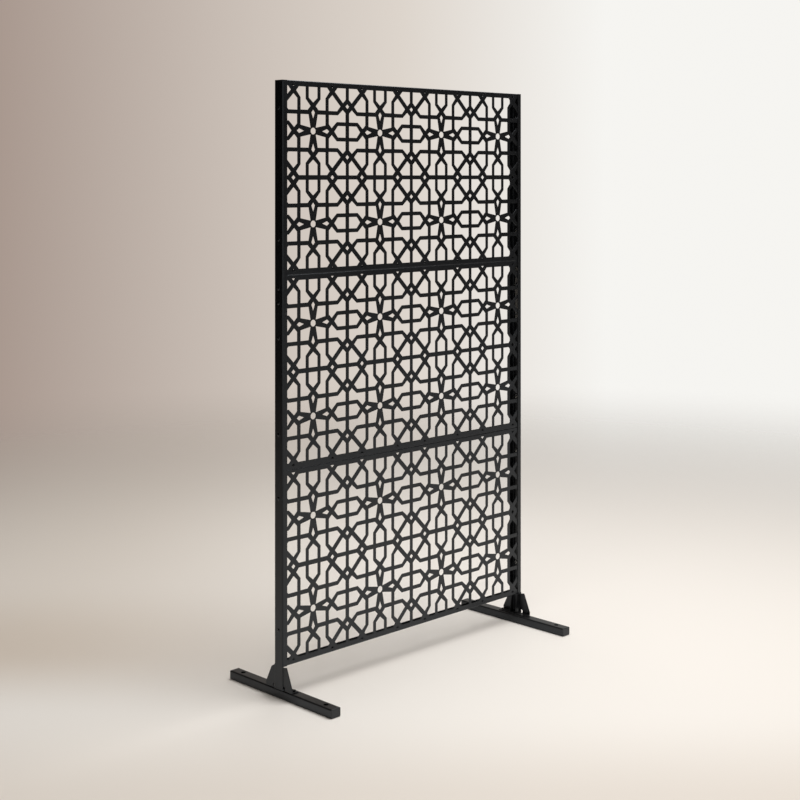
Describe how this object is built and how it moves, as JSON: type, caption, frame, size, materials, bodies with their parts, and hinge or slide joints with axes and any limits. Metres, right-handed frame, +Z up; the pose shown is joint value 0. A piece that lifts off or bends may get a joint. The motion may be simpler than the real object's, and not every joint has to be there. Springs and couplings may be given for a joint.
{
  "type": "privacy screen",
  "caption": "Free-standing metal privacy screen: stacked fretwork panels with a traditional star and strap pattern, held by slim channel posts on two bolt-down foot bars.",
  "frame": {"origin": "on the floor, under the middle of the screen, midway between the front and back of its posts", "axes": "+X along the screen to the right as seen from its front, +Y from its pierced front to its back, +Z up along the posts"},
  "size_m": [1.1448, 0.492, 1.9304],
  "materials": {
    "panel_coat": "fine-textured black powder coat on pierced steel sheet",
    "post_coat": "fine-textured black powder coat on folded steel sheet",
    "foot_coat": "fine-textured black powder coat on steel tube and plate",
    "screw_coat": "black-coated screws and bolts, slightly glossier than the sheet",
    "nut_steel": "zinc-plated nuts and tapped plates, hidden inside",
    "cap_plastic": "moulded black plastic, satin"
  },
  "bodies": {
    "root": {"bracket_left": "foot_coat", "bracket_right": "foot_coat", "bracket_stiffener_left": "foot_coat", "bracket_stiffener_right": "foot_coat", "foot_bar_left": "foot_coat", "foot_bar_right": "foot_coat", "foot_bolts_left": "screw_coat", "foot_bolts_right": "screw_coat", "foot_cap_back_left": "cap_plastic", "foot_cap_back_right": "cap_plastic", "foot_cap_front_left": "cap_plastic", "foot_cap_front_right": "cap_plastic", "foot_nuts_left": "nut_steel", "foot_nuts_right": "nut_steel", "panel_bottom": "panel_coat", "panel_bottom_nuts": "nut_steel", "panel_middle": "panel_coat", "panel_middle_nuts": "nut_steel", "panel_top": "panel_coat", "panel_top_nuts": "nut_steel", "post_lower_left": "post_coat", "post_lower_right": "post_coat", "post_upper_left": "post_coat", "post_upper_right": "post_coat", "side_screws_left": "screw_coat", "side_screws_right": "screw_coat", "splice_plate_left": "nut_steel", "splice_plate_right": "nut_steel", "splice_screws_left": "screw_coat", "splice_screws_right": "screw_coat"}
  },
  "joints": []
}
